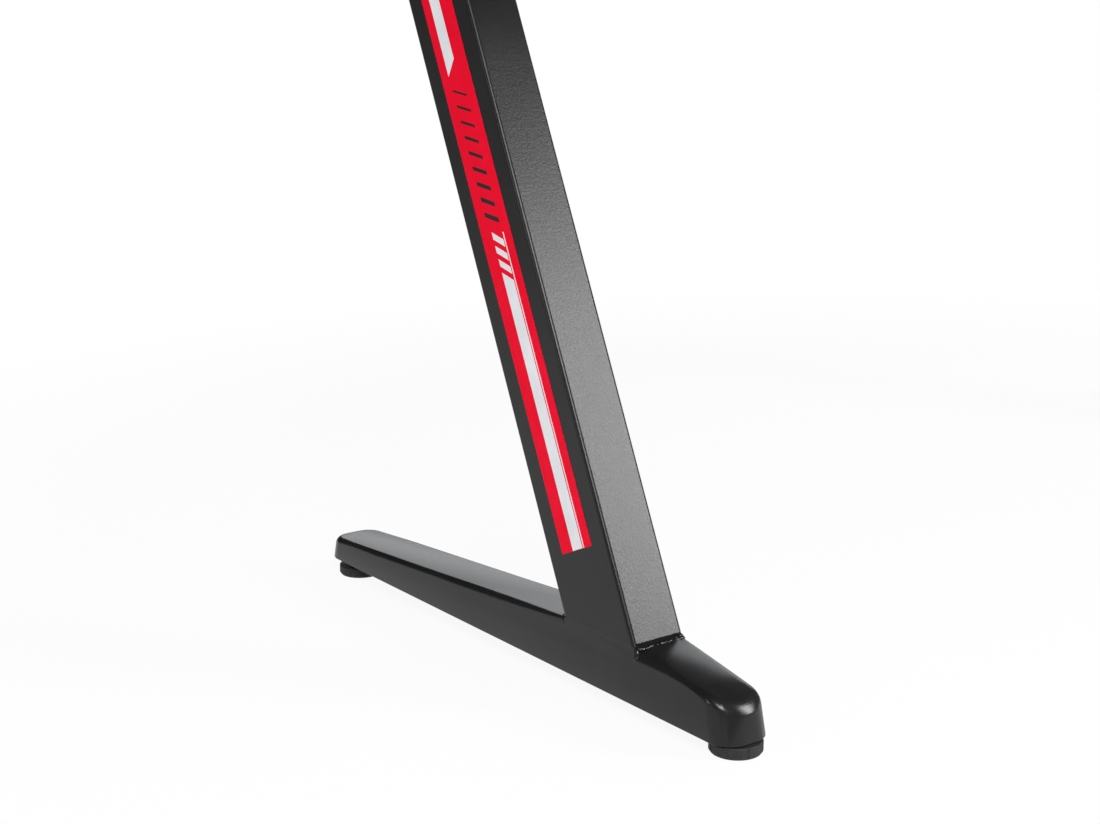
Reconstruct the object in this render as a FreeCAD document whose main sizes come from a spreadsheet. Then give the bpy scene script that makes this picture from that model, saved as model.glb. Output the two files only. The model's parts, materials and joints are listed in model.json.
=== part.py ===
import FreeCAD, Part
import math
import operator
import os
from types import SimpleNamespace

import Sketcher

# A gaming desk on two Z-shaped steel side frames. X runs along its width, Y from front to rear and
# Z up from the floor. The origin is on the floor under the middle of the tabletop.
# Lengths are in millimetres and angles in degrees.
SIZES = {
    # Tabletop: a board with an edge band round it
    "desk_height": 750,
    "top_width": 1400,
    "top_depth": 600,
    "top_thickness": 18,
    "top_corner": 20,
    "band_thickness": 2,
    "band_edge_round": 0.8,
    "band_gap": 0.05,
    # Leg: a rectangular tube that leans to the rear. Its front face meets the foot at one setback
    # from the tabletop's front edge, and the top bar at another from the rear edge.
    "leg_inset": 45,
    "leg_setback": 121,
    "leg_top_setback": 192.3,
    "leg_width": 50,
    "leg_depth": 80,
    "leg_wall": 2,
    "leg_corner": 3.3,
    # Foot: a pressed shell, open underneath, as wide as the leg
    "foot_height": 59.3,
    "foot_front_reach": 105.3,
    "foot_rear_setback": 15.4,
    "foot_front_rim": 10.7,
    "foot_rear_rim": 17.3,
    "foot_front_drop": 15.4,
    "foot_rear_drop": 21.8,
    "foot_front_draft_angle": 13,
    "foot_rear_draft_angle": 15,
    "foot_corner": 19,
    "foot_nose_round": 12.5,
    "foot_waist_round": 5.5,
    "foot_wall": 2,
    "foot_stub": 12,
    # Weld beads at the two ends of the leg
    "weld_rise": 2.4,
    "weld_run": 5,
    # Printed film on the outer face of the leg
    "film_width": 40,
    "film_thickness": 0.3,
    "film_start": 84,
    "film_end_margin": 84,
    # Top bar: a rectangular tube under the tabletop, closed by plastic caps
    "bar_setback": 40,
    "bar_height": 30,
    "bar_wall": 1.5,
    "bar_corner": 3,
    "cap_flange": 2.5,
    "cap_plug": 14,
    "cap_clearance": 0.2,
    "cap_edge_round": 1,
    # Crossbars between the two top bars, bolted on through end plates
    "crossbar_setback": 110,
    "crossbar_depth": 20,
    "crossbar_wall": 1.5,
    "crossbar_corner": 2.5,
    "plate_length": 76,
    "plate_thickness": 3,
    "plate_corner": 5,
    "bolt_spread": 50,
    "bolt_radius": 3,
    "bolt_head_radius": 5.25,
    "bolt_head_height": 3.3,
    "bolt_length": 16,
    "bolt_hole_radius": 3.2,
    "washer_radius": 7,
    "washer_thickness": 1.2,
    "bolt_nut_radius": 5.77,
    "bolt_nut_height": 5,
    "bolt_nut_bore": 3.1,
    # Screws that hold the tabletop, set inside the top bars
    "bar_hole_margin": 50,
    "screw_radius": 2.25,
    "screw_head_radius": 5,
    "screw_head_height": 3,
    "screw_length": 15,
    "screw_hole_radius": 2.4,
    "screw_access_radius": 6.5,
    # Levelling feet: a grooved pad on a threaded stem, held by a nut welded to a plate in the foot
    "leveller_front_setback": 17,
    "leveller_rear_setback": 22,
    "pad_radius": 20.5,
    "pad_height": 9.4,
    "pad_sole_radius": 19.2,
    "pad_taper": 1.8,
    "pad_edge": 0.8,
    "pad_boss_radius": 9,
    "pad_seat_gap": 0.3,
    "pad_turn_angle": 27,
    "flute_radius": 2.2,
    "flute_depth": 0.8,
    "stem_radius": 4,
    "stem_fit": 0.05,
    "stem_bottom": 4,
    "stem_top": 35.4,
    "stem_chamfer": 0.8,
    "seat_height": 20,
    "seat_thickness": 3,
    "seat_gap": 0.15,
    "seat_forward": 10,
    "seat_backward": 24,
    "seat_corner": 16,
    "nut_radius": 7.5,
    "nut_height": 6.5,
    # Length by which a cut runs past what it cuts
    "overrun": 5,
}

SCREWS_PER_BAR = 4
FLUTES_PER_PAD = 8
HEX_SIDES = 6

# Shares of a button head's radius and height where its crown meets its top and its side
HEAD_CROWN_SHARES = (0.55, 0.35)

# Share of an outer round of the foot that the inner face of its wall has
INNER_ROUND_SHARE = 0.85

# Share of the foot's top round at the leg that its outer face has at the rear tip
TAIL_ROUND_SHARE = 1.3

SIDES = (("left", -1), ("right", 1))
ENDS = (("front", -1), ("rear", 1))

doc = FreeCAD.newDocument("gaming_desk")
sheet = doc.addObject("Spreadsheet::Sheet", "Sizes")
nodes = []


class Size:
    """A length or angle worked out from the sheet: its value and the expression that gives it."""

    def __init__(self, text, value):
        self.text = text
        self.value = value

    def joined(self, sign, other, work):
        other = as_size(other)
        return Size(f"({self.text} {sign} {other.text})", work(self.value, other.value))

    def __add__(self, other):
        return self.joined("+", other, operator.add)

    def __sub__(self, other):
        return self.joined("-", other, operator.sub)

    def __mul__(self, other):
        return self.joined("*", other, operator.mul)

    def __truediv__(self, other):
        return self.joined("/", other, operator.truediv)

    def __neg__(self):
        return self * -1


def as_size(item):
    return item if isinstance(item, Size) else Size(f"({item})", item)


def cosine(angle):
    return Size(f"cos({angle.text})", math.cos(math.radians(angle.value)))


def sine(angle):
    return Size(f"sin({angle.text})", math.sin(math.radians(angle.value)))


def tangent(angle):
    return Size(f"tan({angle.text})", math.tan(math.radians(angle.value)))


def arctangent(ratio):
    return Size(f"atan({ratio.text})", math.degrees(math.atan(ratio.value)))


def fill_sheet():
    """Write the driving sizes to the sheet and hand them back by name."""
    for row, (name, value) in enumerate(SIZES.items(), start=1):
        sheet.set(f"A{row}", name)
        sheet.set(f"B{row}", str(value))
        sheet.setAlias(f"B{row}", name)
    doc.recompute()
    return SimpleNamespace(**{name: Size(f"Sizes.{name}", value) for name, value in SIZES.items()})


d = fill_sheet()

# Places that several pieces share
leg_x = d.top_width / 2 - d.leg_inset - d.leg_width / 2
leg_y = d.leg_setback - d.top_depth / 2
board_bottom = d.desk_height - d.top_thickness
bar_bottom = board_bottom - d.bar_height
bar_length = d.top_depth - d.bar_setback * 2
crossbar_y = d.top_depth / 2 - d.crossbar_setback
leg_rise = bar_bottom - d.foot_height
leg_shift = d.top_depth - d.leg_setback - d.leg_top_setback
leg_lean = arctangent(leg_shift / leg_rise)
leg_run = d.leg_depth / cosine(leg_lean)
foot_end = d.top_depth - d.leg_setback - d.foot_rear_setback
rim_slope = (d.foot_rear_rim - d.foot_front_rim) / (foot_end + d.foot_front_reach)
leveller_y = {
    "front": d.leveller_front_setback - d.foot_front_reach,
    "rear": foot_end - d.leveller_rear_setback,
}


def bind(thing, **sizes):
    """Tie properties of an object to the sheet."""
    for name, size in sizes.items():
        thing.setExpression(name, as_size(size).text)


def place(thing, x=0, y=0, z=0, axis=None, angle=0):
    """Tie an object's place, and its turn about an axis, to the sheet."""
    if axis:
        turn = FreeCAD.Rotation(FreeCAD.Vector(*axis), as_size(angle).value)
        thing.Placement = FreeCAD.Placement(FreeCAD.Vector(), turn)
        thing.setExpression("Placement.Rotation.Angle", as_size(angle).text)
    for letter, size in (("x", x), ("y", y), ("z", z)):
        thing.setExpression(f"Placement.Base.{letter}", as_size(size).text)
    return thing


def node(thing, name):
    """Give a finished sub-part the name of its file."""
    thing.Label = name
    nodes.append(thing)
    return thing


def new_body(name):
    return doc.addObject("PartDesign::Body", name)


def new_sketch(body, plane):
    sketch = body.newObject("Sketcher::SketchObject", "outline")
    support = next(item for item in body.Origin.OriginFeatures if item.Role == plane)
    sketch.AttachmentSupport = (support, [""])
    sketch.MapMode = "FlatFace"
    return sketch


def pin_point(sketch, geometry, point, across, up):
    """Fix one point of a sketch at two sizes from its origin. A zero puts it on the axis."""
    for kind, axis, size in (("DistanceX", -2, across), ("DistanceY", -1, up)):
        if isinstance(size, Size):
            index = sketch.addConstraint(
                Sketcher.Constraint(kind, -1, 1, geometry, point, size.value))
            sketch.setExpression(f"Constraints[{index}]", size.text)
        else:
            sketch.addConstraint(Sketcher.Constraint("PointOnObject", geometry, point, axis))


def outline(body, plane, points):
    """A closed outline of straight lines through pairs of sizes."""
    sketch = new_sketch(body, plane)
    corners = [FreeCAD.Vector(as_size(across).value, as_size(up).value, 0) for across, up in points]
    count = len(corners)
    for index in range(count):
        sketch.addGeometry(Part.LineSegment(corners[index], corners[(index + 1) % count]), False)
    for index in range(count):
        sketch.addConstraint(Sketcher.Constraint("Coincident", index, 2, (index + 1) % count, 1))
    for index, (across, up) in enumerate(points):
        pin_point(sketch, index, 1, across, up)
    return sketch


def circles(body, plane, radius, centres):
    """Circles of one radius at pairs of sizes."""
    sketch = new_sketch(body, plane)
    for index, (across, up) in enumerate(centres):
        middle = FreeCAD.Vector(as_size(across).value, as_size(up).value, 0)
        sketch.addGeometry(Part.Circle(middle, FreeCAD.Vector(0, 0, 1), radius.value), False)
        pin_point(sketch, index, 3, across, up)
        row = sketch.addConstraint(Sketcher.Constraint("Radius", index, radius.value))
        sketch.setExpression(f"Constraints[{row}]", radius.text)
    return sketch


def rectangle(width, height, bottom=0):
    """Corners of a rectangle centred across, standing on bottom."""
    low = bottom
    high = as_size(bottom) + height
    return ((-width / 2, low), (width / 2, low), (width / 2, high), (-width / 2, high))


def centred(width, height):
    return rectangle(width, height, -height / 2)


def extrude(body, kind, sketch, length, symmetric=True, reverse=False):
    """A Pad or a Pocket of a sketch."""
    feature = body.newObject(f"PartDesign::{kind}", kind.lower())
    feature.Profile = sketch
    feature.SideType = "Symmetric" if symmetric else "One side"
    feature.Reversed = reverse
    bind(feature, Length=length)
    doc.recompute()
    return feature


def round_edges(body, feature, radius, test):
    """Fillet the edges of a feature whose two end points pass a test."""
    names = []
    for index, edge in enumerate(feature.Shape.Edges, start=1):
        if test(*[vertex.Point for vertex in edge.Vertexes]):
            names.append(f"Edge{index}")
    fillet = body.newObject("PartDesign::Fillet", "fillet")
    fillet.Base = (feature, names)
    bind(fillet, Radius=radius)
    doc.recompute()
    return fillet


def along(letter):
    """A test for edges that run along one axis."""
    def test(*ends):
        if len(ends) < 2:
            return False
        gap = ends[1] - ends[0]
        return abs(abs(getattr(gap, letter)) - gap.Length) < Part.Precision.confusion()
    return test


def level(*ends):
    """A test for edges that lie level."""
    return len(ends) == 2 and abs(ends[1].z - ends[0].z) < Part.Precision.confusion()


def revolved(name, points):
    """A round piece about Z, from an outline in radius and height."""
    body = new_body(name)
    sketch = outline(body, "XZ_Plane", points)
    turn = body.newObject("PartDesign::Revolution", "revolution")
    turn.Profile = sketch
    turn.ReferenceAxis = (sketch, ["V_Axis"])
    turn.Angle = 360
    doc.recompute()
    return body


def group(name, things):
    compound = doc.addObject("Part::Compound", name)
    compound.Links = things
    return node(compound, name)


def rods(name, radius, length, places, axis=None, angle=0):
    """Round bars of one size in several places, as the tool of a cut."""
    bars = []
    for x, y, z in places:
        bar = doc.addObject("Part::Cylinder", f"{name}_bar")
        bind(bar, Radius=radius, Height=length)
        bars.append(place(bar, x, y, z, axis, angle))
    compound = doc.addObject("Part::Compound", name)
    compound.Links = bars
    return compound


def cut(name, base, tool):
    result = doc.addObject("Part::Cut", name)
    result.Base = base
    result.Tool = tool
    return result


def make_tabletop():
    """The board with its screw holes, and the band round its edge."""
    board_width = d.top_width - d.band_thickness * 2
    board_depth = d.top_depth - d.band_thickness * 2
    board_corner = d.top_corner - d.band_thickness
    board = new_body("board")
    slab = extrude(board, "Pad", outline(board, "XY_Plane", centred(board_width, board_depth)),
                   d.top_thickness, symmetric=False)
    round_edges(board, slab, board_corner, along("z"))
    place(board, z=board_bottom)
    holes = rods("board_holes", d.screw_hole_radius, d.screw_length, screw_places(board_bottom))
    node(cut("tabletop", board, holes), "tabletop")

    band = new_body("band")
    rim = extrude(band, "Pad", outline(band, "XY_Plane", centred(d.top_width, d.top_depth)),
                  d.top_thickness, symmetric=False)
    rounded = round_edges(band, rim, d.top_corner, along("z"))
    round_edges(band, rounded, d.band_edge_round, level)
    opening = new_body("band_opening")
    core = extrude(opening, "Pad", outline(opening, "XY_Plane", centred(
        board_width + d.band_gap * 2, board_depth + d.band_gap * 2)),
        d.top_thickness + d.overrun * 2, symmetric=False)
    round_edges(opening, core, board_corner + d.band_gap, along("z"))
    place(band, z=board_bottom)
    place(opening, z=board_bottom - d.overrun)
    node(cut("band_ring", band, opening), "tabletop_edge_band")


def screw_places(height):
    """Where the tabletop screws stand, at a given height."""
    places = []
    for _, side in SIDES:
        for index in range(SCREWS_PER_BAR):
            share = index / (SCREWS_PER_BAR - 1) - 1 / 2
            places.append((leg_x * side, (bar_length - d.bar_hole_margin * 2) * share, height))
    return places


def make_screws():
    """Pan-head screws up through the top walls of the bars into the board."""
    crown, side = HEAD_CROWN_SHARES
    seat = board_bottom - d.bar_wall
    screws = []
    for x, y, z in screw_places(seat):
        screw = revolved("screw", (
            (0, -d.screw_head_height), (d.screw_head_radius * crown, -d.screw_head_height),
            (d.screw_head_radius, -d.screw_head_height * side), (d.screw_head_radius, 0),
            (d.screw_radius, 0), (d.screw_radius, d.screw_length), (0, d.screw_length)))
        screws.append(place(screw, x, y, z))
    group("tabletop_screws", screws)


def make_leg(name, side):
    """The leaning tube, cut level at both ends."""
    leg = new_body(f"{name}_leg")
    profile = outline(leg, "YZ_Plane", (
        (0, d.foot_height), (leg_run, d.foot_height),
        (leg_run + leg_shift, bar_bottom), (leg_shift, bar_bottom)))
    solid = extrude(leg, "Pad", profile, d.leg_width)
    round_edges(leg, solid, d.leg_corner, runs_up)
    wall = d.leg_wall / cosine(leg_lean)
    lead = d.overrun * tangent(leg_lean)
    bore = outline(leg, "YZ_Plane", (
        (wall - lead, d.foot_height - d.overrun), (leg_run - wall - lead, d.foot_height - d.overrun),
        (leg_run - wall + leg_shift + lead, bar_bottom + d.overrun),
        (wall + leg_shift + lead, bar_bottom + d.overrun)))
    extrude(leg, "Pocket", bore, d.leg_width - d.leg_wall * 2)
    place(leg, leg_x * side, leg_y)
    node(leg, f"{name}_leg")


def runs_up(*ends):
    """A test for the long edges of a leaning tube."""
    return len(ends) == 2 and abs(ends[1].z - ends[0].z) > d.leg_wall.value


def foot_end_block(name, end, inset, drop):
    """The front or rear part of the foot as a solid, drawn in by inset and let down by drop."""
    front = end == "front"
    way = 1 if front else -1
    draft = tangent(d.foot_front_draft_angle if front else d.foot_rear_draft_angle)
    rim = d.foot_front_rim if front else d.foot_rear_rim
    top = d.foot_height - (d.foot_front_drop if front else d.foot_rear_drop) - inset
    tip = (as_size(inset) - d.foot_front_reach) if front else foot_end - inset
    leg_face = 0 if front else leg_run
    leg_rim = d.foot_front_rim + rim_slope * (as_size(leg_face) + d.foot_front_reach)
    body = new_body(name)
    profile = outline(body, "YZ_Plane", (
        (tip - draft * drop * way, rim - drop), (leg_face, leg_rim - drop),
        (leg_face, d.foot_height - inset), (tip + draft * (top - rim) * way, top)))
    width = d.leg_width - as_size(inset) * 2
    solid = extrude(body, "Pad", profile, width)
    middle = as_size(leg_face).value
    near = abs(tip.value - middle) / 2
    round_share = INNER_ROUND_SHARE if inset else 1
    round_edges(body, solid, d.foot_corner * round_share, lambda *ends: all(
        abs(end.y - middle) > near for end in ends) and abs(ends[0].x - ends[1].x) < near
        and abs(ends[0].z - ends[1].z) > d.foot_wall.value)
    tail_share = 1 if inset else TAIL_ROUND_SHARE
    tip_round = d.foot_nose_round if front else d.foot_waist_round * tail_share
    return round_top(body, middle, d.foot_waist_round * round_share, tip_round * round_share)


def round_top(body, leg_face, leg_round, tip_round):
    """Round the top of a foot's end, with a radius that grows from the leg to the tip."""
    shape = body.Shape
    top = max(shape.Faces, key=lambda face: face.normalAt(0, 0).z)
    rounds = []
    for index, edge in enumerate(shape.Edges, start=1):
        at_leg = [abs(vertex.Y - leg_face) < d.foot_wall.value for vertex in edge.Vertexes]
        if all(at_leg) or not any(edge.isSame(other) for other in top.Edges):
            continue
        rounds.append((index, *[(leg_round if near else tip_round).value for near in at_leg]))
    fillet = doc.addObject("Part::Fillet", f"{body.Name}_rounded")
    fillet.Base = body
    fillet.Edges = rounds
    return fillet


def foot_middle_block(name, inset, drop):
    """The part of the foot that stands under the leg."""
    body = new_body(name)
    front_rim = d.foot_front_rim + rim_slope * d.foot_front_reach
    rear_rim = front_rim + rim_slope * leg_run
    profile = outline(body, "YZ_Plane", (
        (0, front_rim - drop), (leg_run, rear_rim - drop),
        (leg_run, d.foot_height - inset), (0, d.foot_height - inset)))
    extrude(body, "Pad", profile, d.leg_width - as_size(inset) * 2)
    return body


def foot_solid(name, inset, drop):
    return [foot_end_block(f"{name}_{end}", end, inset, drop) for end, _ in ENDS] + [
        foot_middle_block(f"{name}_middle", inset, drop)]


def fuse(name, things):
    result = doc.addObject("Part::MultiFuse", name)
    result.Shapes = things
    return result


def make_foot(name, side):
    """The pressed shell: a tapered, round-ended hull with a collar that carries on the leg's faces."""
    collar = new_body(f"{name}_foot_collar")
    lead = d.foot_stub * tangent(leg_lean)
    low = d.foot_height - d.foot_stub
    profile = outline(collar, "YZ_Plane", (
        (-lead, low), (leg_run - lead, low), (leg_run, d.foot_height), (0, d.foot_height)))
    round_edges(collar, extrude(collar, "Pad", profile, d.leg_width), d.leg_corner, runs_up)
    hull = fuse(f"{name}_foot_hull", foot_solid(f"{name}_foot_outer", 0, 0) + [collar])
    hollow = fuse(f"{name}_foot_hollow", foot_solid(f"{name}_foot_inner", d.foot_wall, d.overrun))
    shell = cut(f"{name}_foot_shell", hull, hollow)
    node(place(shell, leg_x * side, leg_y), f"{name}_foot")


def make_welds(name, side):
    """Beads across the front and rear of the leg, on the foot and under the top bar."""
    length = d.leg_width - d.leg_corner * 2
    up_y = d.weld_rise * sine(leg_lean)
    up_z = d.weld_rise * cosine(leg_lean)
    front_slope = d.foot_front_drop / d.foot_front_reach
    rear_slope = d.foot_rear_drop / (foot_end - leg_run)
    corners = (
        (0, d.foot_height, -d.weld_run, -d.weld_run * front_slope, 1),
        (leg_run, d.foot_height, d.weld_run, -d.weld_run * rear_slope, 1),
        (leg_shift, bar_bottom, -d.weld_run, 0, -1),
        (leg_run + leg_shift, bar_bottom, d.weld_run, 0, -1),
    )
    beads = []
    for y, z, run, rise, way in corners:
        bead = new_body(f"{name}_bead")
        profile = outline(bead, "YZ_Plane", (
            (y, z), (as_size(y) + up_y * way, z + up_z * way), (as_size(y) + run, z + rise)))
        extrude(bead, "Pad", profile, length)
        beads.append(place(bead, leg_x * side, leg_y))
    group(f"{name}_weld_beads", beads)


def make_film(name, side):
    """The printed strip on the outer face of the leg, in the leg's own leaning axes."""
    film = new_body(f"{name}_leg_film")
    low = (d.leg_depth - d.film_width) / 2
    high = low + d.film_width
    end = leg_rise / cosine(leg_lean) - d.film_end_margin
    profile = outline(film, "YZ_Plane", (
        (low, d.film_start), (high, d.film_start), (high, end), (low, end)))
    extrude(film, "Pad", profile, d.film_thickness, symmetric=False, reverse=side < 0)
    place(film, (leg_x + d.leg_width / 2) * side, leg_y, d.foot_height, (1, 0, 0), -leg_lean)
    node(film, f"{name}_leg_film")


def make_top_bar(name, side):
    """The bar under the tabletop, with screw holes, access holes and bolt holes."""
    bar = new_body(f"{name}_bar")
    tube = extrude(bar, "Pad", outline(bar, "XZ_Plane", rectangle(d.leg_width, d.bar_height)),
                   bar_length)
    round_edges(bar, tube, d.bar_corner, along("y"))
    bore = outline(bar, "XZ_Plane", rectangle(
        d.leg_width - d.bar_wall * 2, d.bar_height - d.bar_wall * 2, d.bar_wall))
    extrude(bar, "Pocket", bore, bar_length + d.overrun * 2)
    place(bar, leg_x * side, 0, bar_bottom)
    own_side = [spot for spot in screw_places(bar_bottom - d.overrun)
                if spot[0].value * side > 0]
    small = rods(f"{name}_bar_screw_holes", d.screw_hole_radius, d.bar_height + d.overrun * 2, own_side)
    large = rods(f"{name}_bar_access_holes", d.screw_access_radius, d.overrun + d.bar_wall * 2, own_side)
    inner_face = leg_x - d.leg_width / 2
    bolt_holes = [(x - d.bar_wall, y, z) for x, y, z in bolt_places(side, inner_face)]
    bolts = rods(f"{name}_bar_bolt_holes", d.bolt_hole_radius, d.bar_wall * 2, bolt_holes, (0, 1, 0), 90)
    result = bar
    for label, tool in (("screws", small), ("access", large), ("bolts", bolts)):
        result = cut(f"{name}_bar_{label}", result, tool)
    node(result, f"{name}_top_bar")
    make_caps(name, side)


def make_caps(name, side):
    """Plastic caps pressed into the ends of the bar."""
    caps = []
    room = d.bar_wall + d.cap_clearance
    for _, end in ENDS:
        cap = new_body(f"{name}_cap")
        flange = extrude(cap, "Pad", outline(cap, "XZ_Plane", rectangle(d.leg_width, d.bar_height)),
                         d.cap_flange, symmetric=False)
        sides = round_edges(cap, flange, d.bar_corner, along("y"))
        front = -d.cap_flange.value
        round_edges(cap, sides, d.cap_edge_round, lambda *ends: all(
            abs(point.y - front) < d.cap_clearance.value for point in ends))
        plug = outline(cap, "XZ_Plane", rectangle(
            d.leg_width - room * 2, d.bar_height - room * 2, room))
        extrude(cap, "Pad", plug, d.cap_plug, symmetric=False, reverse=True)
        turn = 0 if end < 0 else 180
        caps.append(place(cap, leg_x * side, bar_length / 2 * end, bar_bottom, (0, 0, 1), turn))
    group(f"{name}_top_bar_caps", caps)


def bolt_places(side, x):
    """Where the crossbar bolts of one side stand."""
    places = []
    for _, end in ENDS:
        for _, bolt in ENDS:
            y = crossbar_y * end + d.bolt_spread / 2 * bolt
            places.append((x * side, y, bar_bottom + d.bar_height / 2))
    return places


def make_crossbar(name, end):
    """A tube across the desk with a bolting plate at each end."""
    bar = new_body(f"{name}_crossbar")
    reach = (leg_x - d.leg_width / 2 - d.plate_thickness) * 2
    tube = extrude(bar, "Pad", outline(bar, "YZ_Plane", rectangle(d.crossbar_depth, d.bar_height)), reach)
    round_edges(bar, tube, d.crossbar_corner, along("x"))
    bore = outline(bar, "YZ_Plane", rectangle(
        d.crossbar_depth - d.crossbar_wall * 2, d.bar_height - d.crossbar_wall * 2, d.crossbar_wall))
    extrude(bar, "Pocket", bore, reach + d.overrun * 2)
    place(bar, 0, crossbar_y * end, bar_bottom)
    node(bar, f"{name}_crossbar")

    plates = []
    for _, side in SIDES:
        plate = new_body(f"{name}_plate")
        flat = extrude(plate, "Pad", outline(plate, "YZ_Plane", rectangle(d.plate_length, d.bar_height)),
                       d.plate_thickness, symmetric=False, reverse=side > 0)
        round_edges(plate, flat, d.plate_corner, along("x"))
        spots = [(d.bolt_spread / 2 * bolt, d.bar_height / 2) for _, bolt in ENDS]
        extrude(plate, "Pocket", circles(plate, "YZ_Plane", d.bolt_hole_radius, spots),
                d.plate_thickness * 2 + d.overrun)
        place(plate, (leg_x - d.leg_width / 2) * side, crossbar_y * end, bar_bottom)
        plates.append(plate)
    group(f"{name}_crossbar_plates", plates)


def make_bolts():
    """Button-head bolts with washers, and the nuts welded inside the top bars."""
    crown, shoulder = HEAD_CROWN_SHARES
    bolts = []
    washers = []
    nuts = []
    for _, side in SIDES:
        seat = leg_x - d.leg_width / 2 - d.plate_thickness
        turn = -90 * side
        for x, y, z in bolt_places(side, seat):
            washer = revolved("washer", (
                (d.bolt_hole_radius, 0), (d.washer_radius, 0), (d.washer_radius, d.washer_thickness),
                (d.bolt_hole_radius, d.washer_thickness)))
            washers.append(place(washer, x, y, z, (0, 1, 0), turn))
            low = d.washer_thickness
            bolt = revolved("bolt", (
                (0, low - d.bolt_length), (d.bolt_radius, low - d.bolt_length), (d.bolt_radius, low),
                (d.bolt_head_radius, low), (d.bolt_head_radius, low + d.bolt_head_height * shoulder),
                (d.bolt_head_radius * crown, low + d.bolt_head_height), (0, low + d.bolt_head_height)))
            bolts.append(place(bolt, x, y, z, (0, 1, 0), turn))
        inside = leg_x - d.leg_width / 2 + d.bar_wall
        for x, y, z in bolt_places(side, inside):
            nuts.append(hex_nut(d.bolt_nut_radius, d.bolt_nut_height, d.bolt_nut_bore,
                                (x, y, z), (0, 1, 0), 90 * side))
    group("crossbar_bolts", bolts)
    group("crossbar_washers", washers)
    group("crossbar_weld_nuts", nuts)


def hex_nut(radius, height, bore, spot, axis=None, angle=0):
    """A six-sided nut with a plain bore, standing on spot."""
    block = doc.addObject("Part::Prism", "nut_block")
    block.Polygon = HEX_SIDES
    bind(block, Circumradius=radius, Height=height)
    hole = doc.addObject("Part::Cylinder", "nut_bore")
    bind(hole, Radius=bore, Height=height + d.overrun * 2)
    place(hole, z=-d.overrun)
    return place(cut("nut", block, hole), *spot, axis, angle)


def make_pad(name, x, y):
    """The hand-turned pad: a grooved disc with a boss round the stem."""
    pad = new_body(f"{name}_pad")
    boss_top = d.seat_height - d.pad_seat_gap
    bore = d.stem_radius + d.stem_fit
    bore_floor = d.stem_bottom - d.stem_fit
    sketch = outline(pad, "XZ_Plane", (
        (0, 0), (d.pad_sole_radius, 0), (d.pad_radius, d.pad_taper),
        (d.pad_radius, d.pad_height - d.pad_edge), (d.pad_radius - d.pad_edge, d.pad_height),
        (d.pad_boss_radius, d.pad_height), (d.pad_boss_radius, boss_top), (bore, boss_top),
        (bore, bore_floor), (0, bore_floor)))
    disc = pad.newObject("PartDesign::Revolution", "disc")
    disc.Profile = sketch
    disc.ReferenceAxis = (sketch, ["V_Axis"])
    disc.Angle = 360
    centre = d.pad_radius + d.flute_radius - d.flute_depth
    flute_sketch = circles(pad, "XY_Plane", d.flute_radius, [(centre, 0)])
    flute = extrude(pad, "Pocket", flute_sketch, d.pad_height * 2 + d.overrun)
    ring = pad.newObject("PartDesign::PolarPattern", "flutes")
    ring.Originals = [flute]
    ring.Axis = (flute_sketch, ["N_Axis"])
    ring.Angle = 360
    ring.Occurrences = FLUTES_PER_PAD
    pad.Tip = ring
    node(place(pad, x, y, 0, (0, 0, 1), d.pad_turn_angle), f"{name}_leveller_pad")


def make_leveller(name, x, y, way):
    """Pad, stem, seat plate and welded nut of one levelling foot."""
    make_pad(name, x, y)
    tip = d.stem_radius - d.stem_chamfer
    stem = revolved(f"{name}_stem", (
        (0, d.stem_bottom), (d.stem_radius, d.stem_bottom), (d.stem_radius, d.stem_top - d.stem_chamfer),
        (tip, d.stem_top), (0, d.stem_top)))
    node(place(stem, x, y), f"{name}_leveller_stem")

    plate = new_body(f"{name}_seat")
    half = d.leg_width / 2 - d.foot_wall - d.seat_gap
    profile = outline(plate, "XY_Plane", (
        (-half, -d.seat_forward), (half, -d.seat_forward), (half, d.seat_backward),
        (-half, d.seat_backward)))
    flat = extrude(plate, "Pad", profile, d.seat_thickness, symmetric=False)
    middle = (d.seat_backward.value - d.seat_forward.value) / 2
    round_edges(plate, flat, d.seat_corner, lambda *ends: along("z")(*ends) and ends[0].y < middle)
    hole = circles(plate, "XY_Plane", d.stem_radius + d.stem_fit, [(0, 0)])
    extrude(plate, "Pocket", hole, d.seat_thickness * 2 + d.overrun)
    turn = 0 if way < 0 else 180
    node(place(plate, x, y, d.seat_height, (0, 0, 1), turn), f"{name}_leveller_plate")
    return hex_nut(d.nut_radius, d.nut_height, d.stem_radius + d.stem_fit,
                   (x, y, d.seat_height + d.seat_thickness))


def make_levellers():
    nuts = []
    for side_name, side in SIDES:
        for end_name, way in ENDS:
            y = leg_y + leveller_y[end_name]
            nuts.append(make_leveller(f"{side_name}_{end_name}", leg_x * side, y, way))
    group("leveller_weld_nuts", nuts)


def write_parts():
    """Check every object and every sub-part, then write one file for each sub-part."""
    doc.recompute()
    for thing in doc.Objects:
        if {"Invalid", "Error"} & set(thing.State):
            raise RuntimeError(f"{thing.Label} did not build: {thing.State}")
    for thing in nodes:
        if thing.Shape.isNull() or not thing.Shape.isValid() or not thing.Shape.Solids:
            raise RuntimeError(f"{thing.Label} has no valid solid")
    os.makedirs("parts", exist_ok=True)
    for thing in nodes:
        thing.Shape.exportStep(f"parts/{thing.Label}.step")


make_tabletop()
make_screws()
for side_name, side in SIDES:
    make_leg(side_name, side)
    make_foot(side_name, side)
    make_welds(side_name, side)
    make_film(side_name, side)
    make_top_bar(side_name, side)
for end_name, end in ENDS:
    make_crossbar(end_name, end)
make_bolts()
make_levellers()
write_parts()
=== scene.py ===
import json
import math
import random

import bmesh
import bpy
from bmesh.types import BMEdge, BMVert
from mathutils import Matrix, Vector

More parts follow.
